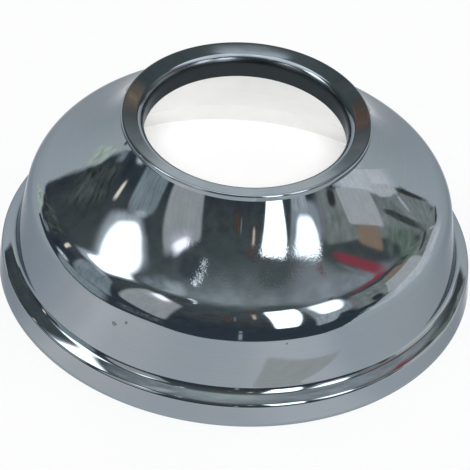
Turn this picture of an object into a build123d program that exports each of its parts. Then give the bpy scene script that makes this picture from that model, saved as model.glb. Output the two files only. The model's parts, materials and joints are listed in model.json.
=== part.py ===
"""Pipe escutcheon: one brass sheet drawn to a bell, open below, with a lip and a turned-in collar."""
import os
from math import cos, radians, sin, tan

from build123d import *

# Lengths are in millimetres. Slopes are in degrees away from the upright, leaning in towards the pipe.
base_diameter = 98.0
pipe_diameter = 40.0
pipe_play = 1.0
sheet_thickness = 0.75

# The rim that stands on the wall or floor, and the ledge above it: a tight corner, a face with a slight
# crown that flattens from its foot to its top, and a hollow up into the skirt.
rim_height = 4.33
rim_slope = 6.5
ledge_corner_radius = 1.05
ledge_foot_slope = 57.0
ledge_crown_radius = 20.5
ledge_top_slope = 62.0
ledge_hollow_radius = 1.9

# The bell: straight skirt, round shoulder, and above it a wide hollow apron that runs into a tighter
# hollow flare up to the neck.
skirt_height = 10.18
skirt_slope = 10.4
shoulder_radius = 8.85
apron_foot_slope = 59.2
apron_radius = 55.6
apron_top_slope = 51.0
neck_slope = 29.7

# The lip: a bead pinched out of the sheet, with a low upright wall on the neck and a round edge, then a
# face dished towards the pipe, and the collar.
lip_width = 4.65
bead_wall_height = 0.8
bead_radius = 0.4
dish_angle = 12.5
collar_inner_bend = 1.15
collar_height = 3.0

base_radius = base_diameter / 2
bore_radius = (pipe_diameter + pipe_play) / 2
lip_radius = bore_radius + lip_width
collar_bend_radius = collar_inner_bend + sheet_thickness


def heading(slope):
    """Direction, from the outline's level axis, of a wall that climbs with this slope."""
    return 90 + slope


def lower_wall(depth):
    """Rim, ledge, skirt, shoulder and apron, at this depth below the polished face."""
    foot = (base_radius - depth / cos(radians(rim_slope)), 0)
    rim_length = rim_height / cos(radians(rim_slope)) - depth * tan(radians(rim_slope))
    rim = PolarLine(foot, rim_length, heading(rim_slope))
    corner = JernArc(rim @ 1, rim % 1, ledge_corner_radius - depth, ledge_foot_slope - rim_slope)
    crown_turn = ledge_top_slope - ledge_foot_slope
    crown = JernArc(corner @ 1, corner % 1, ledge_crown_radius - depth, crown_turn)
    hollow_turn = skirt_slope - ledge_top_slope
    hollow = JernArc(crown @ 1, crown % 1, ledge_hollow_radius + depth, hollow_turn)
    skirt = PolarLine(hollow @ 1, skirt_height / cos(radians(skirt_slope)), heading(skirt_slope))
    shoulder = JernArc(skirt @ 1, skirt % 1, shoulder_radius - depth, apron_foot_slope - skirt_slope)
    apron_turn = apron_top_slope - apron_foot_slope
    apron = JernArc(shoulder @ 1, shoulder % 1, apron_radius + depth, apron_turn)
    return [rim, corner, crown, hollow, skirt, shoulder, apron]


# The flare takes up what is left between the apron and the neck, so its radius follows from the two.
flare_run = (lower_wall(0)[-1] @ 1).X - lip_radius
flare_radius = flare_run / (cos(radians(neck_slope)) - cos(radians(apron_top_slope)))


def bell_wall(depth):
    """The whole side of the bell at this depth, from the base to the neck."""
    lower = lower_wall(depth)
    apron = lower[-1]
    flare = JernArc(apron @ 1, apron % 1, flare_radius + depth, neck_slope - apron_top_slope)
    return [*lower, flare]


bell_outside = bell_wall(0)
bell_inside = bell_wall(sheet_thickness)

# The bead's wall starts at the neck, and its round edge ends where the dished face begins.
neck = bell_outside[-1] @ 1
bead_wall = Line(neck, neck + Vector(0, bead_wall_height))
bead_edge = JernArc(bead_wall @ 1, bead_wall % 1, bead_radius, 90 + dish_angle)

# The dished face falls to the bend, and the bend turns it down into the collar.
dish_fall = tan(radians(dish_angle))
bend_reach = collar_bend_radius / cos(radians(dish_angle))
bend_center_x = bore_radius + collar_bend_radius
dish_top = bead_edge @ 1
bend_center_y = dish_top.Y - (dish_top.X - bend_center_x) * dish_fall - bend_reach


def lip_wall(start, depth):
    """Dished face, bend and collar at this depth below the polished face."""
    bend_radius = collar_bend_radius - depth
    bend = CenterArc((bend_center_x, bend_center_y), bend_radius, 90 + dish_angle, 90 - dish_angle)
    dish = Line(start, bend @ 0)
    collar = Line(bend @ 1, bend @ 1 - Vector(0, collar_height))
    return [dish, bend, collar]


# Inside, the bell's sheet runs straight on from the neck until it meets the underside of the dished face.
inner_neck = bell_inside[-1] @ 1
sheet_drop = sheet_thickness / cos(radians(dish_angle))
underside_at_neck = dish_top.Y - (dish_top.X - inner_neck.X) * dish_fall - sheet_drop
underside_gap = underside_at_neck - inner_neck.Y
climb = cos(radians(neck_slope)) + sin(radians(neck_slope)) * dish_fall
inner_neck_wall = PolarLine(inner_neck, underside_gap / climb, heading(neck_slope))

outside = [*bell_outside, bead_wall, bead_edge, *lip_wall(dish_top, 0)]
inside = [*bell_inside, inner_neck_wall, *lip_wall(inner_neck_wall @ 1, sheet_thickness)]
base_edge = Line(inside[0] @ 0, outside[0] @ 0)
collar_edge = Line(outside[-1] @ 1, inside[-1] @ 1)
section = make_face([base_edge, *outside, collar_edge, *inside])

shell = revolve(Plane.XZ * section, Axis.Z)
shell.label = "escutcheon_shell"

os.makedirs("parts", exist_ok=True)
export_step(shell, "parts/escutcheon_shell.step")

print("height mm", round(shell.bounding_box().max.Z, 3), "flare radius mm", round(flare_radius, 2))
print("collar from", round(bend_center_y - collar_height, 3), "to", round(bend_center_y, 3), "mm")
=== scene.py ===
# %% [markdown]
# # A chromed escutcheon
# This lesson dresses one part: the bell-shaped cover that slides down a flush pipe and hides the hole it
# comes out of. The construction is already made and packed, so it is loaded first and stays where it is.
# Every length below is in metres, and slopes are in degrees, in the frame of that construction.

# %% Load the construction
import json
import math

import bpy
from mathutils import Matrix, Vector


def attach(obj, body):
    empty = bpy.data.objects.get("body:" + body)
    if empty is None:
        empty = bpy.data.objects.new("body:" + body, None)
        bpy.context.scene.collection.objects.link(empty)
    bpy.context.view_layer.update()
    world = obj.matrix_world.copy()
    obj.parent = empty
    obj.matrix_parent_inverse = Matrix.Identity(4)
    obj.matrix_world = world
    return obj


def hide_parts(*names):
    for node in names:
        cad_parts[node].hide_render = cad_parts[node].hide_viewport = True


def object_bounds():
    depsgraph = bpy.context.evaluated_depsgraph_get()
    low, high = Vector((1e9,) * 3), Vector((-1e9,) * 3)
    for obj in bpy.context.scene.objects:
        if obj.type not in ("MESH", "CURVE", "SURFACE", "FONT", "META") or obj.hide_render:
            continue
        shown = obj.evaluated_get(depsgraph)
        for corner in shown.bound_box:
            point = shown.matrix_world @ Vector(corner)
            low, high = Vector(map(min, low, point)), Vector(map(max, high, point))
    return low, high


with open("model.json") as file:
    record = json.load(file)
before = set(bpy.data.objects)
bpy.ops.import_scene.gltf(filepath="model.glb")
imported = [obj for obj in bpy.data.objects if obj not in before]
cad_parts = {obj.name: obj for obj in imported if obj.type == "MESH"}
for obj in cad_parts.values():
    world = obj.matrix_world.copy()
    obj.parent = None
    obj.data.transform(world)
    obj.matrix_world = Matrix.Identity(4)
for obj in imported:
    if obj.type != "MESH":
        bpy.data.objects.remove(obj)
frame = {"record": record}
cad_low, cad_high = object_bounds()
print("construction box", [round(v, 4) for v in cad_high - cad_low])

# %% [markdown]
# ## Camera
# A mirror-like thing shows its surroundings, so the camera has to stand where the photograph was taken from,
# or every reflection slides. The long lens and the few degrees of roll come from matching the rings of the
# part (rim, lip and collar) to the picture.

# %% Camera
scene = bpy.context.scene
scene.view_settings.view_transform = "Standard"

CAMERA_DISTANCE = 0.55
CAMERA_ELEVATION = math.radians(40.29)
CAMERA_ROLL = math.radians(4.74)
CAMERA_LENS = 201.6
SENSOR_WIDTH = 36.0
# How far the middle of the rim lies right of and above the middle of the picture.
ORIGIN_RIGHT = 0.00037
ORIGIN_UP = -0.00552

level_right = Vector((1, 0, 0))
level_up = Vector((0, math.sin(CAMERA_ELEVATION), math.cos(CAMERA_ELEVATION)))
forward = Vector((0, math.cos(CAMERA_ELEVATION), -math.sin(CAMERA_ELEVATION)))
camera_x = level_right * math.cos(CAMERA_ROLL) + level_up * math.sin(CAMERA_ROLL)
camera_y = level_up * math.cos(CAMERA_ROLL) - level_right * math.sin(CAMERA_ROLL)

camera_data = bpy.data.cameras.new("camera")
camera_data.lens = CAMERA_LENS
camera_data.sensor_width = SENSOR_WIDTH
camera = bpy.data.objects.new("camera", camera_data)
scene.collection.objects.link(camera)
scene.camera = camera
camera_turn = Matrix((camera_x, camera_y, -forward)).transposed().to_4x4()
camera_place = -level_right * ORIGIN_RIGHT - level_up * ORIGIN_UP - forward * CAMERA_DISTANCE
camera.matrix_world = Matrix.Translation(camera_place) @ camera_turn
print("camera at", [round(v, 4) for v in camera_place])

# %% [markdown]
# ## Outline of the sheet
# The real part starts as a flat brass disc. It is drawn and spun over a former until it has a rim, a ledge,
# a skirt, a round shoulder and a hollow flare, and then its top is pinched to a bead, dished and turned down
# to a collar. All that shows in one cut through the axis. Two small helpers walk along the cut: one goes
# straight, the other round a bend, and both leave points closely enough for clean reflections.

# %% Walk straight and round
MM = 0.001
STRAIGHT_STEP = 0.6 * MM
BEND_STEP = math.radians(3.5)
BEND_STRIDE = 0.5 * MM


def go_straight(pen, slope, length):
    """Points from the pen's place along a wall that leans in by slope, in degrees from the upright."""
    steps = max(1, round(length / STRAIGHT_STEP))
    x, y = pen
    lean = math.radians(slope)
    return [(x - math.sin(lean) * length * k / steps, y + math.cos(lean) * length * k / steps)
            for k in range(1, steps + 1)]


def go_round(pen, slope, new_slope, radius):
    """Points from the pen's place round a bend of this radius, until the wall leans in by new_slope."""
    turn = math.radians(new_slope - slope)
    steps = max(1, math.ceil(abs(turn) / BEND_STEP), math.ceil(abs(turn) * radius / BEND_STRIDE))
    side = math.copysign(radius, turn)
    x, y = pen
    lean = math.radians(slope)
    center_x = x - side * math.cos(lean)
    center_y = y - side * math.sin(lean)
    leans = [lean + turn * k / steps for k in range(1, steps + 1)]
    return [(center_x + side * math.cos(a), center_y + side * math.sin(a)) for a in leans]


print("walk steps", STRAIGHT_STEP, "m straight,", round(math.degrees(BEND_STEP), 1), "degrees round")

# %% [markdown]
# The rim's radius comes from the construction's box and the bore from its pipe mount, so the dressed part
# can't drift from the solid. The other sizes are those the solid was drawn with, but for the ledge. Its face
# is laid two degrees flatter, less than a tenth of a millimetre off, so that it mirrors what it does in the
# photo.

# %% Sizes of the sheet
pipe_mount = next(m for m in frame["record"]["mounts"] if m["name"] == "pipe_bore")
BASE_RADIUS = cad_high.x
BORE_RADIUS = pipe_mount["dims"]["r_mm"] * MM
COLLAR_HEIGHT = pipe_mount["dims"]["length_mm"] * MM
SHEET = 0.75 * MM

RIM_HEIGHT = 4.40 * MM
RIM_SLOPE = 6.5
LEDGE_CORNER = 1.05 * MM
LEDGE_FOOT_SLOPE = 59.0
LEDGE_CROWN = 18.93 * MM
LEDGE_TOP_SLOPE = 64.0
LEDGE_HOLLOW = 1.9 * MM

SKIRT_HEIGHT = 10.18 * MM
SKIRT_SLOPE = 10.4
SHOULDER_RADIUS = 8.85 * MM
APRON_FOOT_SLOPE = 59.2
APRON_RADIUS = 55.6 * MM
APRON_TOP_SLOPE = 51.0
NECK_SLOPE = 29.7

LIP_WIDTH = 4.65 * MM
BEAD_WALL_HEIGHT = 0.8 * MM
BEAD_RADIUS = 0.4 * MM
DISH_ANGLE = 12.5
COLLAR_INNER_BEND = 1.15 * MM

LIP_RADIUS = BORE_RADIUS + LIP_WIDTH
COLLAR_BEND = COLLAR_INNER_BEND + SHEET
print("rim radius", round(BASE_RADIUS, 5), "bore radius", round(BORE_RADIUS, 5))

# %% [markdown]
# The bell's side is walked twice: once along the polished face and once along the hidden face, one sheet
# deeper. A bend that is round from outside is tighter inside by the sheet, and a hollow one is wider. The
# slopes are in degrees, so three one-line helpers spare the turning into radians.

# %% Lower side of the bell
def cos_of(slope):
    return math.cos(math.radians(slope))


def sin_of(slope):
    return math.sin(math.radians(slope))


def tan_of(slope):
    return math.tan(math.radians(slope))


def lower_side(depth):
    """Rim, ledge, skirt, shoulder and apron at this depth below the polished face."""
    points = [(BASE_RADIUS - depth / cos_of(RIM_SLOPE), 0.0)]
    rim_length = RIM_HEIGHT / cos_of(RIM_SLOPE) - depth * tan_of(RIM_SLOPE)
    points += go_straight(points[-1], RIM_SLOPE, rim_length)
    points += go_round(points[-1], RIM_SLOPE, LEDGE_FOOT_SLOPE, LEDGE_CORNER - depth)
    points += go_round(points[-1], LEDGE_FOOT_SLOPE, LEDGE_TOP_SLOPE, LEDGE_CROWN - depth)
    points += go_round(points[-1], LEDGE_TOP_SLOPE, SKIRT_SLOPE, LEDGE_HOLLOW + depth)
    points += go_straight(points[-1], SKIRT_SLOPE, SKIRT_HEIGHT / cos_of(SKIRT_SLOPE))
    points += go_round(points[-1], SKIRT_SLOPE, APRON_FOOT_SLOPE, SHOULDER_RADIUS - depth)
    points += go_round(points[-1], APRON_FOOT_SLOPE, APRON_TOP_SLOPE, APRON_RADIUS + depth)
    return points


print("lower side ends", round(lower_side(0)[-1][1], 5), "m up")

# %% [markdown]
# The flare takes up what is left between the apron and the neck, so its radius follows from the two.

# %% Whole side of the bell
flare_run = lower_side(0)[-1][0] - LIP_RADIUS
FLARE_RADIUS = flare_run / (cos_of(NECK_SLOPE) - cos_of(APRON_TOP_SLOPE))


def bell_side(depth):
    """The whole side from the rim's foot to the neck."""
    points = lower_side(depth)
    return points + go_round(points[-1], APRON_TOP_SLOPE, NECK_SLOPE, FLARE_RADIUS + depth)


outer_bell = bell_side(0)
inner_bell = bell_side(SHEET)
print("bell points", len(outer_bell), "outside,", len(inner_bell), "inside")

# %% [markdown]
# The lip is the finest work on the part. The sheet is pinched into a bead with a low upright wall on the
# neck, then it falls gently towards the pipe and turns down round a tight bend into the collar.

# %% Lip and collar
# A level face that falls towards the pipe leans in by a right angle and the dish besides.
UPRIGHT = 0.0
DISH_SLOPE = 90.0 + DISH_ANGLE
COLLAR_SLOPE = 180.0

bead = go_straight(outer_bell[-1], UPRIGHT, BEAD_WALL_HEIGHT)
bead += go_round(bead[-1], UPRIGHT, DISH_SLOPE, BEAD_RADIUS)
dish_x, dish_y = bead[-1]
bend_x = BORE_RADIUS + COLLAR_BEND
bend_y = dish_y - (dish_x - bend_x) * tan_of(DISH_ANGLE) - COLLAR_BEND / cos_of(DISH_ANGLE)


def lip_side(start, depth):
    """Dished face, bend and collar from this start, at this depth below the polished face."""
    bend_radius = COLLAR_BEND - depth
    dish_end_x = bend_x - bend_radius * sin_of(DISH_ANGLE)
    points = go_straight(start, DISH_SLOPE, (start[0] - dish_end_x) / cos_of(DISH_ANGLE))
    points += go_round(points[-1], DISH_SLOPE, COLLAR_SLOPE, bend_radius)
    return points + go_straight(points[-1], COLLAR_SLOPE, COLLAR_HEIGHT)


outer_lip = lip_side(bead[-1], 0)
print("lip height", round(max(y for x, y in bead), 5), "collar foot", round(outer_lip[-1][1], 5))

# %% [markdown]
# Inside, the sheet runs straight on from the neck until it meets the underside of the dished face. Where the
# two meet follows from the neck's slope and the dish's fall, so it is worked out and not measured.

# %% Hidden side of the lip
inner_x, inner_y = inner_bell[-1]
underside_y = dish_y - (dish_x - inner_x) * tan_of(DISH_ANGLE) - SHEET / cos_of(DISH_ANGLE)
gap_to_underside = underside_y - inner_y
inner_neck_length = gap_to_underside / (cos_of(NECK_SLOPE) + sin_of(NECK_SLOPE) * tan_of(DISH_ANGLE))
inner_neck = go_straight(inner_bell[-1], NECK_SLOPE, inner_neck_length)
inner_lip = lip_side(inner_neck[-1], SHEET)
print("hidden neck runs on for", round(inner_neck_length, 5), "m")

# %% [markdown]
# ## Spin the outline
# Spinning the closed outline once round the axis gives a sheet with two faces and no loose edge. It could be
# a Screw modifier on a profile curve, but building the rings directly keeps every ring where the outline has
# it and lets each ring of faces be told apart as polished or bare. Faces stay smooth-shaded, and only true
# corners (the cut edges and the crease under the bead) are marked sharp.

# %% Spin
TURN_STEPS = 300
SHARP_ANGLE = math.radians(20.0)

polished_path = outer_bell + bead + outer_lip
bare_path = inner_bell + inner_neck + inner_lip
outline = polished_path + bare_path[::-1]
ring_count = len(outline)

spin_angles = [2.0 * math.pi * k / TURN_STEPS for k in range(TURN_STEPS)]
spin_places = [(x * math.cos(a), x * math.sin(a), y) for a in spin_angles for x, y in outline]
spin_faces = []
for step in range(TURN_STEPS):
    here = step * ring_count
    there = (step + 1) % TURN_STEPS * ring_count
    for ring in range(ring_count):
        after = (ring + 1) % ring_count
        spin_faces.append((here + ring, there + ring, there + after, here + after))
print("rings", ring_count, "faces", len(spin_faces))

# %% [markdown]
# The mesh becomes one object, which rides on the part's only body and stands in for its solid.

# %% Skin
shell_mesh = bpy.data.meshes.new("escutcheon_skin")
shell_mesh.from_pydata(spin_places, [], spin_faces)
shell_mesh.validate()
shell_mesh.shade_smooth()
shell_mesh.set_sharp_from_angle(angle=SHARP_ANGLE)
shell = bpy.data.objects.new("escutcheon_skin", shell_mesh)
scene.collection.objects.link(shell)
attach(shell, "root")
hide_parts("escutcheon_shell")
print("skin faces", len(shell_mesh.polygons))

# %% [markdown]
# ## Node helpers
# The finishes are node trees. Short helpers start a tree, add a node, do one sum, carry a value from one span
# to another and mix two colours, so that each finish below reads as a recipe.

# %% Finish, node and sum
def new_finish(name):
    """A material with an empty tree, its output and its principled shader."""
    material = bpy.data.materials.new(name)
    material.use_nodes = True
    tree = material.node_tree
    tree.nodes.clear()
    output = tree.nodes.new("ShaderNodeOutputMaterial")
    shader = tree.nodes.new("ShaderNodeBsdfPrincipled")
    tree.links.new(shader.outputs["BSDF"], output.inputs["Surface"])
    return material, tree, shader


def add_node(tree, kind, **settings):
    """A node of this kind with its settings; a setting that names an input sets that input's value."""
    node = tree.nodes.new(kind)
    for name, value in settings.items():
        if hasattr(node, name):
            setattr(node, name, value)
        else:
            node.inputs[name].default_value = value
    return node


def sum_node(tree, operation, first, second):
    """A math node of two terms, each a socket or a number."""
    node = add_node(tree, "ShaderNodeMath", operation=operation)
    for place, term in enumerate((first, second)):
        if isinstance(term, (int, float)):
            node.inputs[place].default_value = term
        else:
            tree.links.new(term, node.inputs[place])
    return node.outputs[0]


print("helpers for finishes, nodes and sums")

# %% [markdown]
# A noise in Blender stays mostly between 0.3 and 0.7, so it is nearly always carried over to another span
# before it is used. A mix of two colours takes its share from such a value.

# %% Spans and mixes
RISING = (0.0, 1.0)
FALLING = (1.0, 0.0)
NOISE_SPAN = (0.3, 0.7)
# A colour mix has its two colours in these inputs and its result in this output.
MIX_COLOURS = (6, 7)
MIX_RESULT = 2


def remap(tree, value, span, new_span, easing="LINEAR"):
    """Value carried over from one span to another, held at the ends."""
    node = add_node(tree, "ShaderNodeMapRange", clamp=True, interpolation_type=easing)
    tree.links.new(value, node.inputs["Value"])
    for name, number in zip(("From Min", "From Max", "To Min", "To Max"), (*span, *new_span)):
        node.inputs[name].default_value = number
    return node.outputs["Result"]


def tone_mix(tree, share, first, second):
    """First and second colour mixed by share; each is a socket or a plain colour."""
    node = add_node(tree, "ShaderNodeMix", data_type="RGBA")
    tree.links.new(share, node.inputs["Factor"])
    for place, tone in zip(MIX_COLOURS, (first, second)):
        if isinstance(tone, tuple):
            node.inputs[place].default_value = tone
        else:
            tree.links.new(tone, node.inputs[place])
    return node.outputs[MIX_RESULT]


print("noises are taken from", NOISE_SPAN)

# %% [markdown]
# Marks on metal are noise, and a bump turns a noise into a tilt of the surface without moving it. Bumps are
# stacked: each one takes the tilt of the one under it.

# %% Noises and bumps
def noise(tree, place, scale, detail, roughness):
    """Noise with this many marks to the metre, its levels of finer marks, and how strong those are."""
    node = add_node(tree, "ShaderNodeTexNoise", Scale=scale, Detail=detail, Roughness=roughness)
    tree.links.new(place, node.inputs["Vector"])
    return node.outputs["Fac"]


def bump(tree, height, depth, under=None, sunk=False):
    """The surface tilted by this height, over the tilt under it."""
    node = add_node(tree, "ShaderNodeBump", Strength=1.0, Distance=depth, invert=sunk)
    tree.links.new(height, node.inputs["Height"])
    if under is not None:
        tree.links.new(under, node.inputs["Normal"])
    return node.outputs["Normal"]


print("helpers for noises and bumps")

# %% [markdown]
# ## Where a point lies
# The polishing wheel and the spinning tool both run round the part, so their marks depend only on how far a
# point is from the axis and how high it is. This helper works both out from the object's own coordinates and
# joins them to a ring place. An unwrapped layout could do it too, but it would have a seam.

# %% Where a point lies
def place_on_part(tree):
    """The point, its distance from the axis, its height, and the last two as one ring place."""
    place = tree.nodes.new("ShaderNodeTexCoord").outputs["Object"]
    parts = tree.nodes.new("ShaderNodeSeparateXYZ")
    tree.links.new(place, parts.inputs[0])
    flat = tree.nodes.new("ShaderNodeCombineXYZ")
    tree.links.new(parts.outputs["X"], flat.inputs["X"])
    tree.links.new(parts.outputs["Y"], flat.inputs["Y"])
    radius = add_node(tree, "ShaderNodeVectorMath", operation="LENGTH")
    tree.links.new(flat.outputs[0], radius.inputs[0])
    ring_place = tree.nodes.new("ShaderNodeCombineXYZ")
    tree.links.new(radius.outputs["Value"], ring_place.inputs["X"])
    tree.links.new(parts.outputs["Z"], ring_place.inputs["Y"])
    return place, radius.outputs["Value"], parts.outputs["Z"], ring_place.outputs[0]


def far_from(tree, place, spot):
    """How far the point is from this spot."""
    reach = add_node(tree, "ShaderNodeVectorMath", operation="DISTANCE")
    tree.links.new(place, reach.inputs[0])
    reach.inputs[1].default_value = spot
    return reach.outputs["Value"]


def bell_place(degrees_round, height):
    """Where the bell's polished face is, at this angle from the front and this height."""
    reach = min(outer_bell, key=lambda point: abs(point[1] - height))[0]
    turn = math.radians(degrees_round)
    return (reach * math.sin(turn), -reach * math.cos(turn), height)


print("front of the bell at half height", [round(v, 4) for v in bell_place(0.0, cad_high.z / 2)])

# %% [markdown]
# ## Specks
# The plating has pitted in three places on the skirt. Each speck is a round spot whose edge a fine noise has
# eaten into. They could be small dents in the mesh, but at this size a mask for colour, dullness and bump
# looks the same and costs no faces.

# %% Specks
PIT_NOISE = (2600.0, 3.0, 0.5)
PIT_RAGGED = (0.55, 1.35)
PIT_EDGE = (0.7, 1.0)
# Each speck: degrees round from the front towards the right, height and half width.
PITS = ((-30.3, 14.5 * MM, 0.52 * MM), (-27.0, 15.9 * MM, 0.34 * MM), (15.0, 16.8 * MM, 0.2 * MM))


def pit_mask(tree, place):
    """One in the specks and nought elsewhere."""
    ragged = remap(tree, noise(tree, place, *PIT_NOISE), NOISE_SPAN, PIT_RAGGED)
    mask = None
    for degrees_round, height, half_width in PITS:
        size = sum_node(tree, "MULTIPLY", ragged, half_width)
        reach = far_from(tree, place, bell_place(degrees_round, height))
        spot = remap(tree, sum_node(tree, "DIVIDE", reach, size), PIT_EDGE, FALLING)
        mask = spot if mask is None else sum_node(tree, "MAXIMUM", mask, spot)
    return mask


print("specks", len(PITS))

# %% [markdown]
# ## Orange peel
# Where a sheet is drawn hardest its grains can rise, and the polish leaves a fine orange peel. On the front
# of the apron the ends of bright reflections break up into sparkles, which such a patch explains. It is a
# noise that is let through only between two heights and near one spot. A dented mesh would need far finer
# faces for the same grain.

# %% Orange peel
PEEL_NOISE = (2400.0, 1.0, 0.5)
PEEL_LOW = 25.5 * MM
PEEL_HIGH = 29.6 * MM
PEEL_EASE = 1.2 * MM
# The patch's middle, in degrees round from the front, and how far the peel reaches from there and fades.
PEEL_TURN = 8.0
PEEL_REACH = 12.0 * MM
PEEL_FADE = 4.0 * MM


def peel_height(tree, place, height):
    """The peel's noise inside the patch, and nought outside it."""
    above = remap(tree, height, (PEEL_LOW - PEEL_EASE, PEEL_LOW), RISING)
    below = remap(tree, height, (PEEL_HIGH, PEEL_HIGH + PEEL_EASE), FALLING)
    reach = far_from(tree, place, bell_place(PEEL_TURN, (PEEL_LOW + PEEL_HIGH) / 2))
    near = remap(tree, reach, (PEEL_REACH, PEEL_REACH + PEEL_FADE), FALLING)
    patch = sum_node(tree, "MULTIPLY", sum_node(tree, "MULTIPLY", above, below), near)
    return sum_node(tree, "MULTIPLY", noise(tree, place, *PEEL_NOISE), patch)


print("orange peel from", PEEL_LOW, "to", PEEL_HIGH, "m up")

# %% [markdown]
# ## Bore
# The wheel doesn't reach into the collar, so its wall stays dull. Its colour is also painted dark, as painted
# shade for the dim inside of the bell that the wall mirrors. The change comes low on the bend, which keeps
# the bend's crown bright.

# %% Bore
BORE_EASE = 0.3 * MM
# The shares of the bend's height between which the dull bore, with its painted shade, gives way to the
# polish.
BORE_FADE = (0.5, 0.93)


def bore_shade_mask(tree, radius, height):
    """Mask of the bore's dullness and painted shade: one in the collar and nought from the crown of its bend
    outwards.
    """
    near_pipe = remap(tree, radius, (bend_x - BORE_EASE, bend_x), FALLING)
    fade_span = [bend_y + share * COLLAR_BEND for share in BORE_FADE]
    return sum_node(tree, "MULTIPLY", near_pipe, remap(tree, height, fade_span, FALLING))


print("bore dull below", round(bend_y + BORE_FADE[0] * COLLAR_BEND, 5), "m")

# %% [markdown]
# ## Chrome
# Bright chrome on polished brass is nearly a mirror, a little blue. What tells it from a perfect mirror is
# small: rings left by the polishing wheel, a slow waviness of the thin sheet, and a film of handling that
# dulls it in patches. All three are noise: the rings by ring place, so they run round the part as the wheel
# did, and the others by the point itself. First come the dullness and the tone.

# %% Dullness and tone of the chrome
CHROME_COLOUR = (0.266, 0.313, 0.352, 1.0)
FILM_COLOUR = (0.286, 0.325, 0.351, 1.0)
WHEEL_COLOUR = (0.200, 0.240, 0.272, 1.0)
PIT_COLOUR = (0.215, 0.22, 0.215, 1.0)
# Painted shade: the collar's wall is coloured dark for the dim inside of the bell that it mirrors.
BORE_PAINTED_SHADE = (0.055, 0.066, 0.074, 1.0)
WHEEL_SHADE = (0.0, 0.14)
PIT_SHADE = 0.8
FILM_DULLNESS = (0.03, 0.075)
WHEEL_DULLNESS = (0.0, 0.02)
PIT_DULLNESS = 0.4
BORE_DULLNESS = 0.28
# The part of each noise that dulls or tones.
FILM_DULL_SPAN = (0.42, 0.72)
FILM_TONE_SPAN = (0.35, 0.7)
WHEEL_DULL_SPAN = (0.35, 0.75)
WHEEL_TONE_SPAN = (0.35, 0.65)


def chrome_dullness(tree, film, wheel, pits, bore):
    film_dull = remap(tree, film, FILM_DULL_SPAN, FILM_DULLNESS)
    wheel_dull = remap(tree, wheel, WHEEL_DULL_SPAN, WHEEL_DULLNESS)
    dull = sum_node(tree, "ADD", film_dull, wheel_dull)
    dull = sum_node(tree, "MAXIMUM", dull, sum_node(tree, "MULTIPLY", pits, PIT_DULLNESS))
    return sum_node(tree, "MAXIMUM", dull, sum_node(tree, "MULTIPLY", bore, BORE_DULLNESS))


def chrome_tone(tree, film, wheel, pits, bore):
    tone = tone_mix(tree, remap(tree, film, FILM_TONE_SPAN, RISING), CHROME_COLOUR, FILM_COLOUR)
    tone = tone_mix(tree, remap(tree, wheel, WHEEL_TONE_SPAN, WHEEL_SHADE), tone, WHEEL_COLOUR)
    tone = tone_mix(tree, sum_node(tree, "MULTIPLY", pits, PIT_SHADE), tone, PIT_COLOUR)
    # The bore's colour is painted shade for the dim inside of the bell that the collar mirrors.
    return tone_mix(tree, bore, tone, BORE_PAINTED_SHADE)


print("chrome dullness from", FILM_DULLNESS[0], "to", FILM_DULLNESS[1] + WHEEL_DULLNESS[1])

# %% [markdown]
# Now the whole finish. Its bumps are only micrometres deep, because a mirror shows the least tilt. At a
# glancing angle real chrome hardly brightens, so the edge tint is held down.

# %% Chrome
WHEEL_NOISE = (2200.0, 4.0, 0.6)
WAVE_NOISE = (95.0, 2.0, 0.45)
FILM_NOISE = (70.0, 6.0, 0.62)
WAVE_DEPTH = 0.012 * MM
PEEL_DEPTH = 0.009 * MM
WHEEL_DEPTH = 0.0004 * MM
PIT_DEPTH = 0.08 * MM
CHROME_EDGE = (0.55, 0.57, 0.59, 1.0)


def make_chrome():
    material, tree, shader = new_finish("polished_chrome")
    place, radius, height, ring_place = place_on_part(tree)
    film = noise(tree, place, *FILM_NOISE)
    wheel = noise(tree, ring_place, *WHEEL_NOISE)
    pits = pit_mask(tree, place)
    # bore holds the mask of the collar's dullness and painted shade.
    bore = bore_shade_mask(tree, radius, height)
    tree.links.new(chrome_dullness(tree, film, wheel, pits, bore), shader.inputs["Roughness"])
    tree.links.new(chrome_tone(tree, film, wheel, pits, bore), shader.inputs["Base Color"])
    shader.inputs["Metallic"].default_value = 1.0
    shader.inputs["Specular Tint"].default_value = CHROME_EDGE
    tilt = bump(tree, noise(tree, place, *WAVE_NOISE), WAVE_DEPTH)
    tilt = bump(tree, peel_height(tree, place, height), PEEL_DEPTH, tilt)
    tilt = bump(tree, wheel, WHEEL_DEPTH, tilt)
    tree.links.new(bump(tree, pits, PIT_DEPTH, tilt, sunk=True), shader.inputs["Normal"])
    return material


chrome = make_chrome()
shell_mesh.materials.append(chrome)
print("finish", chrome.name, "with", len(chrome.node_tree.nodes), "nodes")

# %% [markdown]
# ## Bare inside
# Nobody polishes the hidden side of a cover. The plating is there, but thin and satin, over the marks that
# the spinning tool left. The same kind of ring noise gives those marks, only coarser and deeper. The rings of
# faces were laid in the outline's order, so a face's number tells whether it is polished or bare.

# %% Bare inside
BARE_LOW = (0.88, 0.88, 0.87, 1.0)
BARE_HIGH = (0.95, 0.95, 0.94, 1.0)
BARE_DULLNESS = (0.42, 0.55)
TOOL_NOISE = (900.0, 3.0, 0.6)
TOOL_DEPTH = 0.01 * MM
STAIN_NOISE = (55.0, 5.0, 0.6)


def make_bare_inside():
    material, tree, shader = new_finish("satin_inside")
    place, _, _, ring_place = place_on_part(tree)
    tool = noise(tree, ring_place, *TOOL_NOISE)
    stain = remap(tree, noise(tree, place, *STAIN_NOISE), NOISE_SPAN, RISING)
    tree.links.new(tone_mix(tree, stain, BARE_LOW, BARE_HIGH), shader.inputs["Base Color"])
    tree.links.new(remap(tree, tool, NOISE_SPAN, BARE_DULLNESS), shader.inputs["Roughness"])
    shader.inputs["Metallic"].default_value = 1.0
    tree.links.new(bump(tree, tool, TOOL_DEPTH), shader.inputs["Normal"])
    return material


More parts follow.
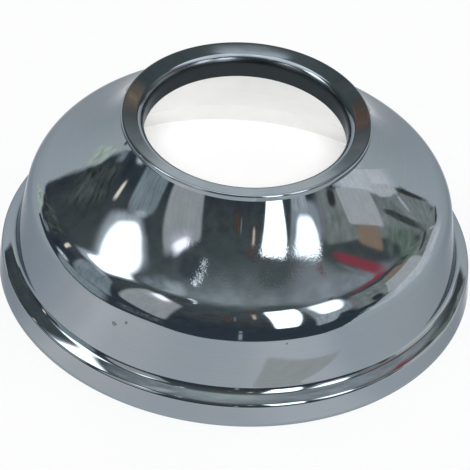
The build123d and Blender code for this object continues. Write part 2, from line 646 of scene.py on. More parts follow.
shell_mesh.materials.append(make_bare_inside())
polished_rings = len(polished_path)
for index, face in enumerate(shell_mesh.polygons):
    face.material_index = 0 if index % ring_count < polished_rings else 1
print("polished faces", sum(face.material_index == 0 for face in shell_mesh.polygons))

# %% [markdown]
# ## Floor
# The part stands on a plain pale table. The table is one large sheet with a slight unevenness of tone, so
# that its reflection in the rim and skirt isn't dead flat. What the camera and the chrome see of it is made
# paler by a glow, which lights nothing else, and the part's shadow stays.

# %% Rays that see the background
def seen_rays(tree):
    """One for rays that come straight from the camera or by way of metal or glass, nought for the rest."""
    ray = tree.nodes.new("ShaderNodeLightPath")
    seen = sum_node(tree, "MAXIMUM", ray.outputs["Is Camera Ray"], ray.outputs["Is Glossy Ray"])
    return sum_node(tree, "MAXIMUM", seen, ray.outputs["Is Transmission Ray"])


print("background shows to camera, glossy and transmission rays")

# %% Floor
FLOOR_HALF = 40.0
FLOOR_LOW = (0.50, 0.50, 0.50, 1.0)
FLOOR_HIGH = (0.53, 0.53, 0.53, 1.0)
FLOOR_NOISE = (18.0, 3.0, 0.5)
FLOOR_DULLNESS = 0.9
FLOOR_SEEN = (0.0, 0.47)
PURE_WHITE = (1.0, 1.0, 1.0, 1.0)


def make_floor():
    material, tree, shader = new_finish("pale_table")
    place = tree.nodes.new("ShaderNodeTexCoord").outputs["Object"]
    tone = tone_mix(tree, noise(tree, place, *FLOOR_NOISE), FLOOR_LOW, FLOOR_HIGH)
    tree.links.new(tone, shader.inputs["Base Color"])
    shader.inputs["Roughness"].default_value = FLOOR_DULLNESS
    shader.inputs["Specular IOR Level"].default_value = 0.0
    shader.inputs["Emission Color"].default_value = PURE_WHITE
    tree.links.new(remap(tree, seen_rays(tree), RISING, FLOOR_SEEN), shader.inputs["Emission Strength"])
    return material


floor_corners = [(-FLOOR_HALF, -FLOOR_HALF, 0), (FLOOR_HALF, -FLOOR_HALF, 0),
                 (FLOOR_HALF, FLOOR_HALF, 0), (-FLOOR_HALF, FLOOR_HALF, 0)]
floor_mesh = bpy.data.meshes.new("floor")
floor_mesh.from_pydata(floor_corners, [], [(0, 1, 2, 3)])
floor_mesh.materials.append(make_floor())
floor = bpy.data.objects.new("floor", floor_mesh)
scene.collection.objects.link(floor)
print("floor", 2 * FLOOR_HALF, "m square")

# %% [markdown]
# ## Studio cards
# Chrome has no look of its own: it needs dark and bright things to mirror. A photographer hangs a dark tent
# round the set and stands bright panels in it. Here each is a patch of a large sphere round the part, given
# by its bearing and height in degrees as seen from the part, with bearing 0 towards the camera and growing
# to the right. Cards are seen only in reflections, so they neither light the part nor hide it.

# %% Shape and hang a card
def sky_place(bearing, height, radius):
    """The point at this bearing and height, in degrees, as seen from the part."""
    b, h = math.radians(bearing), math.radians(height)
    return (radius * math.sin(b) * math.cos(h), -radius * math.cos(b) * math.cos(h), radius * math.sin(h))


def patch_mesh(name, place_of, grid):
    """A grid of columns by rows, with place_of(u, v) giving each point; u and v also become its layout."""
    columns, rows = grid
    points = [place_of(i / columns, j / rows) for j in range(rows + 1) for i in range(columns + 1)]
    stride = columns + 1
    faces = [(j * stride + i, j * stride + i + 1, (j + 1) * stride + i + 1, (j + 1) * stride + i)
             for j in range(rows) for i in range(columns)]
    mesh = bpy.data.meshes.new(name)
    mesh.from_pydata(points, [], faces)
    layout = mesh.uv_layers.new(name="layout")
    for loop in mesh.loops:
        column, row = loop.vertex_index % stride, loop.vertex_index // stride
        layout.data[loop.index].uv = (column / columns, row / rows)
    return mesh


def hang(name, place_of, grid, material):
    """A card of this shape and material that only reflections see."""
    card = bpy.data.objects.new(name, patch_mesh(name, place_of, grid))
    card.data.materials.append(material)
    scene.collection.objects.link(card)
    card.visible_camera = False
    card.visible_diffuse = False
    card.visible_transmission = False
    card.visible_volume_scatter = False
    card.visible_shadow = False
    return card


print("straight ahead of the part, 1 m off, lies", sky_place(0.0, 0.0, 1.0))

# %% [markdown]
# A card's material only shines. Where it should fade out, it is mixed with a clear shader, so what stands
# behind it shows.

# %% Glow of a card
def new_glow(name):
    """A material that only shines, with its tree and its shader."""
    material = bpy.data.materials.new(name)
    material.use_nodes = True
    tree = material.node_tree
    tree.nodes.clear()
    output = tree.nodes.new("ShaderNodeOutputMaterial")
    glow = tree.nodes.new("ShaderNodeEmission")
    tree.links.new(glow.outputs[0], output.inputs["Surface"])
    material.cycles.emission_sampling = "NONE"
    return material, tree, glow


def show_through(tree, share, glow):
    """The glow where share is one, and nothing at all where it is nought."""
    surface = glow.outputs[0].links[0].to_socket
    clear = tree.nodes.new("ShaderNodeBsdfTransparent")
    blend = tree.nodes.new("ShaderNodeMixShader")
    tree.links.new(share, blend.inputs["Fac"])
    tree.links.new(clear.outputs[0], blend.inputs[1])
    tree.links.new(glow.outputs[0], blend.inputs[2])
    tree.links.new(blend.outputs[0], surface)


print("helpers for glows")

# %% [markdown]
# Cloth is noise, stretched along its folds, and a tone that changes along a card is a ramp. Both follow the
# card's own layout or place, so they stay put when the part is seen from elsewhere.

# %% Cloth and tone of a card
def layout_parts(tree):
    """The card's layout as one socket, and its two parts across and up."""
    layout = tree.nodes.new("ShaderNodeUVMap").outputs["UV"]
    parts = tree.nodes.new("ShaderNodeSeparateXYZ")
    tree.links.new(layout, parts.inputs[0])
    return layout, parts.outputs["X"], parts.outputs["Y"]


def stretched(tree, place, scale, shift=(0.0, 0.0, 0.0)):
    """The place scaled along each axis and shifted."""
    node = add_node(tree, "ShaderNodeMapping", Scale=scale)
    node.inputs["Location"].default_value = shift
    tree.links.new(place, node.inputs["Vector"])
    return node.outputs[0]


def tone_ramp(tree, share, start_tone, marks, easing="LINEAR"):
    """The tone at this share, from start_tone at nought on through the marks of share and tone."""
    node = tree.nodes.new("ShaderNodeValToRGB")
    ramp = node.color_ramp
    ramp.interpolation = easing
    ramp.elements.remove(ramp.elements[1])
    ramp.elements[0].color = (*start_tone, 1)
    for mark, tone in marks:
        ramp.elements.new(mark).color = (*tone, 1)
    tree.links.new(share, node.inputs["Fac"])
    return node.outputs["Color"]


print("helpers for cloth and tones")

# %% [markdown]
# The tent is dark from a little above the table up, and paler overhead. Behind the part and at the sides it
# hangs higher, so the pale surroundings show under its hem, which is frayed and lets some light through.

# %% Shape of the tent
TENT_RADIUS = 3.0
# The hem's height, in degrees, at each bearing.
TENT_HEM = ((-180, 20), (-165, 24), (-150, 28), (-136, 22), (-129, 15), (-122, 10), (-117, 2), (-104, -4),
            (-97, -6), (-57, -8), (0, -8), (52, -8), (58, -5), (70, 2), (84, 9), (108, 10), (114, 13),
            (124, 14), (130, 10), (137, 18), (150, 26), (165, 24), (180, 20))


def between_marks(marks, bearing, eased=False):
    """The value at this bearing, straight or eased between the two marks beside it."""
    for (b0, v0), (b1, v1) in zip(marks, marks[1:]):
        if b0 <= bearing <= b1:
            share = (bearing - b0) / (b1 - b0)
            if eased:
                share = share * share * (3 - 2 * share)
            return v0 + (v1 - v0) * share
    return marks[-1][1]


def tent_place(u, v):
    bearing = -180 + 360 * u
    hem = between_marks(TENT_HEM, bearing, eased=True)
    return sky_place(bearing, hem + (90 - hem) * v, TENT_RADIUS)


print("hem ahead", between_marks(TENT_HEM, 0, eased=True), "degrees, behind", TENT_HEM[0][1])

# %% Tent
TENT_GRID = (240, 48)
TENT_LOW = (0.085, 0.105, 0.125)
# The cloth's tone at each height, in degrees.
TENT_TONES = ((16, TENT_LOW), (30, (0.135, 0.147, 0.150)), (48, (0.155, 0.178, 0.176)),
              (58, (0.176, 0.200, 0.194)), (62, (0.213, 0.240, 0.236)), (66, (0.305, 0.338, 0.335)),
              (70, (0.445, 0.475, 0.470)), (74, (0.60, 0.635, 0.625)), (80, (0.82, 0.86, 0.85)),
              (86, (0.98, 1.02, 1.01)))
TENT_NOISE = (3.2, 6.0, 0.7)
TENT_STRETCH = (1.0, 1.0, 0.5)
TENT_UNEVEN = (0.72, 1.28)
# The share of the tent's height over which its hem frays, and how ragged that is.
HEM_FRAY = 0.04
HEM_RAGGED = (-0.4 * HEM_FRAY, 0.4 * HEM_FRAY)


def make_tent_cloth():
    material, tree, glow = new_glow("tent_cloth")
    place = tree.nodes.new("ShaderNodeTexCoord").outputs["Object"]
    parts = tree.nodes.new("ShaderNodeSeparateXYZ")
    tree.links.new(place, parts.inputs[0])
    rise = sum_node(tree, "DIVIDE", parts.outputs["Z"], TENT_RADIUS)
    marks = [(sin_of(height), tone) for height, tone in TENT_TONES]
    tree.links.new(tone_ramp(tree, rise, TENT_LOW, marks), glow.inputs["Color"])
    folds = noise(tree, stretched(tree, place, TENT_STRETCH), *TENT_NOISE)
    tree.links.new(remap(tree, folds, NOISE_SPAN, TENT_UNEVEN), glow.inputs["Strength"])
    _, _, up = layout_parts(tree)
    above_hem = sum_node(tree, "ADD", up, remap(tree, folds, NOISE_SPAN, HEM_RAGGED))
    show_through(tree, remap(tree, above_hem, (0.0, HEM_FRAY), RISING), glow)
    return material


tent = hang("tent", tent_place, TENT_GRID, make_tent_cloth())
print("tent faces", len(tent.data.polygons))

# %% [markdown]
# ## Panels
# The panels give the chrome its sparkle. Each is a four-cornered patch that is brightest in the middle and
# fades to clear at its edge, like a cloth-covered panel. Some are hung with folded cloth. Area lamps could
# stand here too, but they would also light the table, and a card that only shines in reflections doesn't.

# %% Glow of a panel
CLOTH_NOISE = (2.0, 4.0, 0.65)
CLOTH_STRETCH = (6.0, 1.2, 1.0)
panels = []


def from_middle(tree, part):
    """Nought in the middle of the layout and one at its two sides."""
    offset = sum_node(tree, "ABSOLUTE", sum_node(tree, "SUBTRACT", part, 0.5), 0.0)
    return sum_node(tree, "MULTIPLY", offset, 2.0)


def make_panel_glow(name, colour, brightness, soft, folds, square):
    """Soft is the faded share of the half width, folds how uneven it is, square how full its corners are."""
    material, tree, glow = new_glow(name)
    glow.inputs["Color"].default_value = (*colour, 1)
    glow.inputs["Strength"].default_value = brightness
    layout, across, up = layout_parts(tree)
    if folds > 0:
        cloth = noise(tree, stretched(tree, layout, CLOTH_STRETCH, (len(panels), 0.0, 0.0)), *CLOTH_NOISE)
        uneven = (brightness * (1 - folds), brightness * (1 + folds))
        tree.links.new(remap(tree, cloth, NOISE_SPAN, uneven), glow.inputs["Strength"])
    shares = [sum_node(tree, "POWER", from_middle(tree, part), square) for part in (across, up)]
    to_edge = sum_node(tree, "POWER", sum_node(tree, "ADD", *shares), 1.0 / square)
    show_through(tree, remap(tree, to_edge, (1.0 - 2.0 * soft, 1.0), FALLING, "SMOOTHSTEP"), glow)
    return material


print("cloth folds", CLOTH_STRETCH[0], "times finer across than the plain noise")

# %% [markdown]
# A panel's corners are named from low left round to high left, each as bearing and height. A later panel
# stands a little nearer, so it covers the earlier ones.

# %% Stand a panel
PANEL_RADIUS = 2.8
PANEL_GAP = 0.02
PANEL_GRID = (12, 12)
WHITE = (1.0, 1.0, 1.0)
GREY = (0.95, 0.97, 1.0)


def between(corners, u, v):
    """The place in a four-cornered patch, with the corners from low left round to high left."""
    low_left, low_right, high_right, high_left = [Vector(corner) for corner in corners]
    low = low_left.lerp(low_right, u)
    return low.lerp(high_left.lerp(high_right, u), v)


def stand_panel(name, corners, colour, brightness, soft, folds, square):
    """A far panel, with its corners given as bearing and height."""
    reach = PANEL_RADIUS - PANEL_GAP * len(panels)

    def place_of(u, v):
        bearing, height = between(corners, u, v)
        return sky_place(bearing, height, reach)
    glow = make_panel_glow(name, colour, brightness, soft, folds, square)
    panels.append(hang(name, place_of, PANEL_GRID, glow))


print("panels stand", PANEL_GAP, "m apart")

# %% [markdown]
# ### Right of the camera
# The room at the right shows as a pale band low down, an olive wall over it, and a dim glow higher up with a
# dark and a pale part in it. These are broad and plain, so they come first and the rest stands before them.

# %% Room at the right
PALE_ROSE = (1.0, 0.95, 0.95)
OLIVE = (0.97, 1.0, 0.92)
DUSK = (0.19, 0.22, 0.215)
ROSE_EDGE = (1.0, 0.94, 0.97)

stand_panel("right_pale", ((68, -9), (136, -6), (130, 17), (84, 12)), PALE_ROSE,
            brightness=1.40, soft=0.2, folds=0.15, square=6)
stand_panel("right_olive", ((59, 8), (138, 15), (130, 29), (68, 46)), OLIVE,
            brightness=0.50, soft=0.07, folds=0.4, square=8)
stand_panel("right_glow", ((46, 50), (96, 47), (102, 68), (40, 74)), GREY,
            brightness=0.58, soft=0.34, folds=0.1, square=3)
stand_panel("right_dark_high", ((19, 54), (54, 54), (46, 67), (26, 70)), DUSK,
            brightness=1.0, soft=0.22, folds=0.3, square=3)
stand_panel("right_high", ((40, 70), (138, 27), (144, 46), (44, 85)), GREY,
            brightness=0.66, soft=0.25, folds=0.3, square=6)
stand_panel("right_edge", ((57, 13), (69, 12), (71.5, 44), (66.5, 44)), ROSE_EDGE,
            brightness=0.5, soft=0.3, folds=0.3, square=4)
print("panels so far", len(panels))

# %% [markdown]
# Two tall white panels stand nearest to the camera on this side. They are the brightest things on the apron.
# The farther one has a grey surround and a grey foot.

# %% White panels at the right
stand_panel("right_near", ((21.5, 10.5), (33.5, 10.5), (43.5, 56), (20, 56)), WHITE,
            brightness=5.0, soft=0.07, folds=0.0, square=9)
stand_panel("right_far_halo", ((40.5, 16), (63, 16), (72.5, 56), (41, 56)), GREY,
            brightness=0.72, soft=0.12, folds=0.25, square=6)
stand_panel("right_far_foot", ((40.5, 2), (51, 4), (60, 28), (41.5, 28)), GREY,
            brightness=0.9, soft=0.16, folds=0.4, square=5)
stand_panel("right_far", ((45.5, 25), (59, 25), (72.5, 53), (45.5, 55)), WHITE,
            brightness=4.6, soft=0.18, folds=0.0, square=4)
print("panels so far", len(panels))

# %% [markdown]
# On the olive wall hang a grey and a tan sheet, and over them runs a red strip with a pale edge.

# %% Sheets and red strip
WARM_GREY = (1.0, 0.97, 0.94)
TAN = (0.70, 0.48, 0.35)
RED = (0.66, 0.12, 0.16)
DULL_RED = (0.40, 0.14, 0.16)

stand_panel("right_grey", ((80, 9.5), (108.5, 10.5), (111, 30.8), (87, 30.8)), WARM_GREY,
            brightness=1.04, soft=0.04, folds=0.1, square=12)
stand_panel("right_tan", ((92, 29.8), (108, 29.8), (107, 40), (92.5, 40)), TAN,
            brightness=0.93, soft=0.12, folds=0.1, square=7)
stand_panel("right_red", ((73, 46.0), (112, 42.6), (109, 48.6), (74, 49.6)), RED,
            brightness=1.0, soft=0.26, folds=0.0, square=5)
stand_panel("right_red_edge", ((76, 49.2), (105, 48.8), (104, 50.6), (77, 50.8)), GREY,
            brightness=0.5, soft=0.4, folds=0.3, square=5)
stand_panel("right_red_far", ((64, 51.4), (70, 52.8), (77, 57), (68, 56)), DULL_RED,
            brightness=0.9, soft=0.35, folds=0.0, square=3)
print("panels so far", len(panels))

# %% [markdown]
# The room's far end has a green and a few dark things in it, a second olive sheet between two dark bars, and
# a thin pale rod. Thin things near the edge of the bell help the eye to read its curve.

# %% Far end at the right
NEAR_BLACK = (0.09, 0.092, 0.09)
GREEN = (0.85, 1.0, 0.82)
DARK_GREEN = (0.13, 0.15, 0.14)
PALE_OLIVE = (0.98, 1.0, 0.93)
DARK_OLIVE = (0.14, 0.155, 0.145)
BLACK_GREEN = (0.09, 0.10, 0.09)

stand_panel("right_dark_low", ((71.5, 9), (80.5, 9), (80, 23), (72.5, 23)), NEAR_BLACK,
            brightness=1.0, soft=0.25, folds=0.3, square=3)
stand_panel("right_green", ((109, 27), (129, 25), (119, 41), (105, 42)), GREEN,
            brightness=0.40, soft=0.3, folds=0.5, square=4)
stand_panel("right_dark_spot", ((109.5, 34), (116, 33.5), (115, 40), (109, 41)), DARK_GREEN,
            brightness=1.0, soft=0.4, folds=0.3, square=3)
stand_panel("right_rise", ((108, 7), (130, 8), (123.5, 15.8), (113.5, 16)), PALE_ROSE,
            brightness=1.22, soft=0.14, folds=0.15, square=5)
stand_panel("right_far_end", ((127, 11), (137, 17.5), (131, 27), (126.5, 25)), PALE_OLIVE,
            brightness=0.55, soft=0.1, folds=0.3, square=8)
stand_panel("right_dark_end", ((110, 20), (128.5, 24.5), (129.5, 29.5), (111, 24.5)), DARK_OLIVE,
            brightness=1.0, soft=0.25, folds=0.4, square=4)
stand_panel("right_dark_tip", ((125.5, 9), (137, 16), (137.5, 18.5), (125.5, 14)), BLACK_GREEN,
            brightness=1.0, soft=0.25, folds=0.3, square=4)
stand_panel("right_rod", ((124.8, 14), (126.4, 14), (126.9, 22.6), (125.3, 22.6)), GREY,
            brightness=1.2, soft=0.3, folds=0.2, square=4)
print("panels so far", len(panels))

# %% [markdown]
# ### Left of the camera
# A warm grey curtain hangs here, with a rosy glow and a bright fold at its top. Next to it stands a white
# panel in a grey surround, with cold cloths above.

# %% Curtain and white panel at the left
ROSY = (1.0, 0.86, 0.90)
PALE_ROSY = (1.0, 0.93, 0.95)
COLD = (0.88, 0.96, 1.0)
PALE_COLD = (0.96, 0.98, 1.0)

stand_panel("left_rosy", ((-57.5, 12), (-29, 0), (-26.5, 50), (-61, 59)), WARM_GREY,
            brightness=0.86, soft=0.08, folds=0.12, square=8)
stand_panel("left_rosy_glow", ((-61, 44), (-31, 37), (-30, 53), (-56, 61)), ROSY,
            brightness=1.5, soft=0.48, folds=0.2, square=2.5)
stand_panel("left_rosy_top", ((-56, 51), (-37, 43), (-34, 50.5), (-52, 60)), PALE_ROSY,
            brightness=3.6, soft=0.34, folds=0.0, square=3)
stand_panel("left_halo", ((-100, 31), (-73, 32), (-66, 62), (-108, 58)), GREY,
            brightness=1.05, soft=0.2, folds=0.2, square=5)
stand_panel("left_white", ((-96, 38), (-75, 37.5), (-71.5, 60), (-106, 62)), WHITE,
            brightness=5.0, soft=0.14, folds=0.0, square=4)
stand_panel("left_high", ((-92, 59), (-56, 62), (-46, 75), (-88, 70)), COLD,
            brightness=0.55, soft=0.3, folds=0.4, square=5)
stand_panel("left_high_pale", ((-66, 62.5), (-44, 66), (-42, 77), (-62, 74)), PALE_COLD,
            brightness=0.95, soft=0.35, folds=0.2, square=4)
print("panels so far", len(panels))

# %% [markdown]
# Under the white panel hangs a blue-grey folded cloth. Farther left come a thin warm lamp and pale green
# leaves, which are cloths with very uneven folds.

# %% Farther left
LEAF = (0.92, 1.0, 0.9)
BLUE_GREY = (0.86, 0.96, 1.0)
LAMP_WARM = (1.0, 0.82, 0.66)
LEAF_GREEN = (0.93, 1.0, 0.85)
MIST_BLUE = (0.85, 0.95, 1.0)

stand_panel("left_leaves", ((-132, 13), (-100, 0), (-100, 34), (-124, 34)), LEAF,
            brightness=0.17, soft=0.3, folds=0.95, square=4)
stand_panel("left_blue", ((-84, -2), (-56, -2), (-66, 36.5), (-88.5, 36)), BLUE_GREY,
            brightness=0.60, soft=0.08, folds=0.4, square=6)
stand_panel("left_blue_end", ((-83, 31.5), (-70, 31.5), (-69, 37.5), (-84, 37.5)), GREY,
            brightness=1.1, soft=0.4, folds=0.2, square=3)
stand_panel("left_warm", ((-96, 15.5), (-93, 15.5), (-96, 29.5), (-100, 29.5)), LAMP_WARM,
            brightness=2.4, soft=0.30, folds=0.0, square=4)
stand_panel("left_pale", ((-99, -3), (-86, -3), (-86, 8.5), (-97, 7)), WHITE,
            brightness=1.5, soft=0.30, folds=0.8, square=3)
stand_panel("left_green", ((-133, -4), (-114, -4), (-119, 12), (-130, 16)), LEAF_GREEN,
            brightness=1.15, soft=0.28, folds=0.5, square=4)
stand_panel("left_mist", ((-114, -2), (-104, -1), (-105, 9), (-113, 9)), MIST_BLUE,
            brightness=0.55, soft=0.35, folds=0.6, square=3)
print("panels so far", len(panels))

# %% [markdown]
# High up, before a dark cloth, hang three small uneven lights. The orange peel breaks them into sparkles.

# %% Sparks
SHADE = (0.135, 0.155, 0.16)

stand_panel("left_dark_high", ((-53, 57.5), (-25, 54), (-27, 67), (-48, 67)), SHADE,
            brightness=1.0, soft=0.25, folds=0.4, square=3)
stand_panel("spark_high", ((-39.5, 66), (-32.5, 66), (-32.5, 69), (-39, 69.3)), WHITE,
            brightness=2.4, soft=0.40, folds=0.8, square=3)
stand_panel("spark_middle", ((-33.8, 63.2), (-28, 64), (-28.5, 68), (-33.5, 68.4)), WHITE,
            brightness=2.4, soft=0.40, folds=0.8, square=3)
stand_panel("spark_low", ((-27.8, 58.2), (-24.3, 58.2), (-26, 65.5), (-30, 65.5)), WHITE,
            brightness=2.4, soft=0.40, folds=0.8, square=3)
print("panels so far", len(panels))

# %% [markdown]
# ### In front and behind
# In the dark between the two sides only thin things show: a warm lamp stand, a brown post and pale rods.

# %% In front
DARK_BROWN = (0.30, 0.19, 0.17)
STAND_WARM = (1.0, 0.76, 0.58)
POST_BROWN = (0.30, 0.20, 0.15)

stand_panel("front_brown_high", ((7, 48), (18, 46), (19, 59), (8, 59)), DARK_BROWN,
            brightness=0.85, soft=0.4, folds=0.3, square=3)
stand_panel("front_warm", ((12.0, 35), (14.4, 35), (15.2, 51), (12.4, 51)), STAND_WARM,
            brightness=1.6, soft=0.30, folds=0.3, square=4)
stand_panel("front_brown", ((-4, 27), (2.5, 27), (2.5, 44), (-4, 44)), POST_BROWN,
            brightness=0.70, soft=0.25, folds=0.4, square=5)
stand_panel("front_pale_rod", ((2.0, 29), (3.6, 29), (3.6, 44), (2.0, 44)), GREY,
            brightness=0.5, soft=0.4, folds=0.3, square=4)
stand_panel("front_blue_rod", ((4.2, -2), (6.6, -2), (6.3, 9.5), (4.6, 9.5)), MIST_BLUE,
            brightness=0.75, soft=0.30, folds=0.3, square=5)
print("panels so far", len(panels))

# %% [markdown]
# Behind the part, low down, a pale wall shows in the front of the lip. Above it two warm sheets colour the
# sides of the lip.

# %% Behind
PALE_GREEN = (0.95, 1.0, 0.97)
COPPER = (0.80, 0.50, 0.38)
AMBER = (0.85, 0.62, 0.45)
CREAM = (1.0, 0.99, 0.96)

stand_panel("back_mist", ((160, 12), (200, 12), (203, 40), (157, 40)), PALE_GREEN,
            brightness=0.5, soft=0.45, folds=0.3, square=3)
stand_panel("back_warm_left", ((-171, 32), (-156, 32), (-156, 46), (-171, 46)), COPPER,
            brightness=0.42, soft=0.48, folds=0.5, square=2)
stand_panel("back_warm_right", ((156, 32), (171, 32), (171, 46), (156, 46)), AMBER,
            brightness=0.47, soft=0.48, folds=0.5, square=2)
stand_panel("back_pale", ((163, 6), (197, 6), (194, 25), (166, 25)), CREAM,
            brightness=1.22, soft=0.3, folds=0.1, square=4)
print("panels in all", len(panels))

# %% [markdown]
# ## Near cards
# A low dark strip stands on the table in front of the part. It ends the table's reflection right where the
# skirt turns into the shoulder, and gives that turn its dark line. At the sides it swings away, and there the
# pale table runs on. Being near, it is given by its place on the table.

# %% Strip
STRIP_HEIGHT = 0.021
STRIP_GRID = (187, 1)
# Each mark: bearing in degrees and distance from the axis.
STRIP_MARKS = ((-112, 0.31), (-97, 0.18), (-75, 0.108), (-57, 0.092), (-47, 0.096), (-40, 0.108),
               (-31, 0.110), (-20, 0.096), (-10, 0.091), (0, 0.091), (37, 0.093), (45, 0.106),
               (52, 0.145), (58, 0.25), (64, 0.58), (69, 1.40))


def strip_patch(first, last, low, high, gap):
    """Places along the strip from the first bearing to the last, a gap nearer to the part."""
    def place_of(u, v):
        bearing = first + (last - first) * u
        x, y, _ = sky_place(bearing, 0.0, between_marks(STRIP_MARKS, bearing) - gap)
        return (x, y, low + (high - low) * v)
    return place_of


def make_strip_cloth():
    material, _, glow = new_glow("strip_cloth")
    glow.inputs["Color"].default_value = (*TENT_LOW, 1)
    return material


strip_place = strip_patch(STRIP_MARKS[0][0], STRIP_MARKS[-1][0], 0.0, STRIP_HEIGHT, gap=0.0)
hang("front_strip", strip_place, STRIP_GRID, make_strip_cloth())
print("strip height", STRIP_HEIGHT, "m")

# %% [markdown]
# Pale folded cloths hang on the strip at the left, and one thin rod stands before it in front. They reach
# just over its top, so that no dark line is left above them.

# %% Cloth on the strip
CLOTH_TOP = 0.0215
CLOTH_GRID = (40, 2)
CLOTH_SQUARE = 8.0


def hang_on_strip(name, first, last, low, gap, colour, brightness, soft, folds):
    """Cloth hung before the strip, between two bearings, from this height to the cloths' top."""
    glow = make_panel_glow(name, colour, brightness, soft, folds, CLOTH_SQUARE)
    panels.append(hang(name, strip_patch(first, last, low, CLOTH_TOP, gap), CLOTH_GRID, glow))


hang_on_strip("strip_blue", -84, -47, low=0.003, gap=0.0045, colour=BLUE_GREY,
              brightness=0.66, soft=0.14, folds=0.2)
hang_on_strip("strip_grey", -46, -24, low=0.006, gap=0.0015, colour=GREY,
              brightness=0.22, soft=0.2, folds=0.95)
hang_on_strip("strip_rod", 3.4, 5.2, low=0.002, gap=0.0030, colour=MIST_BLUE,
              brightness=0.8, soft=0.30, folds=0.0)
print("cards so far", len(panels))

# %% [markdown]
# ## Cards on the table
# The rim and the skirt mirror the table close by, and a real table isn't evenly lit. Three flat cards lie
# just over it: a shine far out at the right, a ring round the part whose tone changes with the bearing, and
# a warm patch in front. Painting the table itself would work too, but the camera would then see it.

# %% Shine on the table
CARD_LIFT = 0.0005
SHINE_BEARINGS = (58, 116)
SHINE_REACHES = (0.165, 2.6)
SHINE_GRID = (24, 24)


def table_place(bearing, reach, lift):
    """The point over the table at this bearing and distance from the axis."""
    x, y, _ = sky_place(bearing, 0.0, reach)
    return (x, y, lift)


def shine_place(u, v):
    first, last = SHINE_BEARINGS
    near, far = SHINE_REACHES
    return table_place(first + (last - first) * u, near * (far / near) ** v, CARD_LIFT)


shine_glow = make_panel_glow("table_shine", GREY, brightness=1.3, soft=0.2, folds=0.25, square=4.0)
hang("table_shine", shine_place, SHINE_GRID, shine_glow)
print("shine from", SHINE_REACHES[0], "to", SHINE_REACHES[1], "m")

# %% [markdown]
# The ring starts just outside the rim and has faded out at two and a half times that distance. It is bluish
# at the far left and right, and brightest below the curtain and below the nearer white panel.

# %% Ring on the table
TABLE_RING_BEARING = 150.0
TABLE_RING_REACHES = (0.0494, 0.125)
TABLE_RING_FADE = (0.5, 1.0)
TABLE_RING_LIFT = 0.0003
TABLE_RING_GRID = (120, 6)
# The table's tone at each bearing.
TABLE_TONES = ((-110, (0.84, 0.86, 0.90)), (-78, (0.84, 0.85, 0.88)), (-65, (0.92, 0.91, 0.92)),
               (-56, (1.08, 1.04, 1.03)), (-47, (1.25, 1.18, 1.16)), (-38, (1.14, 1.09, 1.07)),
               (-12, (0.98, 0.97, 0.98)), (2, (1.0, 0.99, 1.01)), (18, (1.18, 1.14, 1.15)),
               (30, (1.16, 1.13, 1.14)), (44, (0.93, 0.94, 0.97)), (60, (0.95, 0.94, 0.94)),
               (84, (0.95, 0.95, 0.95)), (112, (0.84, 0.87, 0.92)))


def table_ring_place(u, v):
    near, far = TABLE_RING_REACHES
    return table_place(TABLE_RING_BEARING * (2 * u - 1), near + (far - near) * v, TABLE_RING_LIFT)


def make_table_ring_glow():
    material, tree, glow = new_glow("table_ring")
    _, across, up = layout_parts(tree)
    marks = [(0.5 + 0.5 * bearing / TABLE_RING_BEARING, tone) for bearing, tone in TABLE_TONES]
    tree.links.new(tone_ramp(tree, across, WHITE, marks, "EASE"), glow.inputs["Color"])
    show_through(tree, remap(tree, up, TABLE_RING_FADE, FALLING), glow)
    return material


hang("table_ring", table_ring_place, TABLE_RING_GRID, make_table_ring_glow())
print("ring from", TABLE_RING_REACHES[0], "to", TABLE_RING_REACHES[1], "m")

# %% [markdown]
# The warm patch shows as a pale brown sheet in the front of the skirt. Its corners were found by following
# the mirrored rays from the skirt down to the table.

# %% Warm patch
WARM_GRID = (8, 8)
WARM_SAND = (0.86, 0.84, 0.79)
# The patch's corners on the table, from near left round to far left.
WARM_PATCH = ((0.0080, -0.0610), (0.0185, -0.0575), (0.0480, -0.0525), (0.0185, -0.0765))


def warm_place(u, v):
    x, y = between(WARM_PATCH, u, v)
    return (x, y, CARD_LIFT)


warm_glow = make_panel_glow("table_warm", WARM_SAND, brightness=1.0, soft=0.07, folds=0.08, square=9.0)
hang("table_warm", warm_place, WARM_GRID, warm_glow)
print("warm patch from", WARM_PATCH[0], "to", WARM_PATCH[2])

# %% [markdown]
# ## Cards over the lip
# A broad card overhead gives the inner bend of the lip its bright line. A small one under it, high behind the
# part, lights the inner half of the dished face, and the outer half misses it and stays dark. Its far edge
# bows away at the sides as the round lip does, so that the border between the halves runs evenly round.

# %% Overhead card
OVERHEAD_HALF = 0.13
OVERHEAD_NEAR = -0.055
OVERHEAD_FAR = 0.136
OVERHEAD_HEIGHT = 0.256
OVERHEAD_GRID = (4, 4)


def overhead_place(u, v):
    return (OVERHEAD_HALF * (2 * u - 1), OVERHEAD_NEAR + (OVERHEAD_FAR - OVERHEAD_NEAR) * v, OVERHEAD_HEIGHT)


overhead_glow = make_panel_glow("overhead_card", WHITE, brightness=1.75, soft=0.12, folds=0.3, square=5.0)
hang("overhead_card", overhead_place, OVERHEAD_GRID, overhead_glow)
print("overhead card", OVERHEAD_HEIGHT, "m up")

# %% Lip card
LIP_CARD_HEIGHT = 0.150
LIP_CARD_HALF = 0.0052
LIP_CARD_NEAR = 0.050
LIP_CARD_FAR = 0.0853
LIP_CARD_BOW = 150.0
LIP_CARD_GRID = (24, 4)


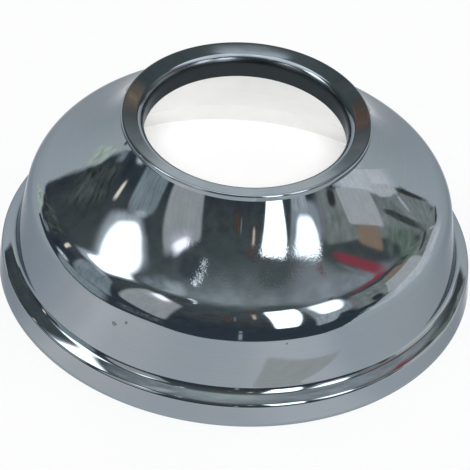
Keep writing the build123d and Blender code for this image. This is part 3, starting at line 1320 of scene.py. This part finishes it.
def lip_card_place(u, v):
    x = LIP_CARD_HALF * (2 * u - 1)
    far = LIP_CARD_FAR + LIP_CARD_BOW * x * x
    return (x, LIP_CARD_NEAR + (far - LIP_CARD_NEAR) * v, LIP_CARD_HEIGHT)


lip_glow = make_panel_glow("lip_card", GREY, brightness=1.08, soft=0.04, folds=0.25, square=12.0)
hang("lip_card", lip_card_place, LIP_CARD_GRID, lip_glow)
print("lip card", LIP_CARD_HEIGHT, "m up")

# %% [markdown]
# ## Light
# One large soft lamp stands close above the camera. From there it reaches through the collar, so the table
# inside the bell is as pale as outside, and the part's shadow falls behind it.

# %% Lamp
LAMP_ELEVATION = 42.0
LAMP_STRENGTH = 3.2
LAMP_ANGLE = math.radians(9.0)

lamp_data = bpy.data.lights.new("key_lamp", "SUN")
lamp_data.energy = LAMP_STRENGTH
lamp_data.angle = LAMP_ANGLE
lamp = bpy.data.objects.new("key_lamp", lamp_data)
lamp.location = sky_place(0.0, LAMP_ELEVATION, 1.0)
lamp.rotation_mode = "QUATERNION"
lamp.rotation_quaternion = (-lamp.location).to_track_quat("-Z", "Y")
lamp.visible_glossy = False
lamp.visible_camera = False
scene.collection.objects.link(lamp)
print("lamp", LAMP_STRENGTH, "at", LAMP_ELEVATION, "degrees")

# %% [markdown]
# The surroundings are pale. They are shown at full strength to the camera and to the chrome, and they light
# the set more gently, so that the table keeps the part's shadow.

# %% Surroundings
# Strength as a light, and strength as seen.
SURROUND_STRENGTHS = (0.32, 1.0)
SURROUND_COLOUR = (0.98, 0.99, 1.0, 1.0)

world = bpy.data.worlds.new("surroundings")
world.use_nodes = True
scene.world = world
sky = world.node_tree
sky.nodes.clear()
sky_output = sky.nodes.new("ShaderNodeOutputWorld")
sky_glow = sky.nodes.new("ShaderNodeBackground")
sky_glow.inputs["Color"].default_value = SURROUND_COLOUR
sky.links.new(remap(sky, seen_rays(sky), RISING, SURROUND_STRENGTHS), sky_glow.inputs["Strength"])
sky.links.new(sky_glow.outputs[0], sky_output.inputs["Surface"])
print("surroundings light with", SURROUND_STRENGTHS[0], "and show with", SURROUND_STRENGTHS[1])
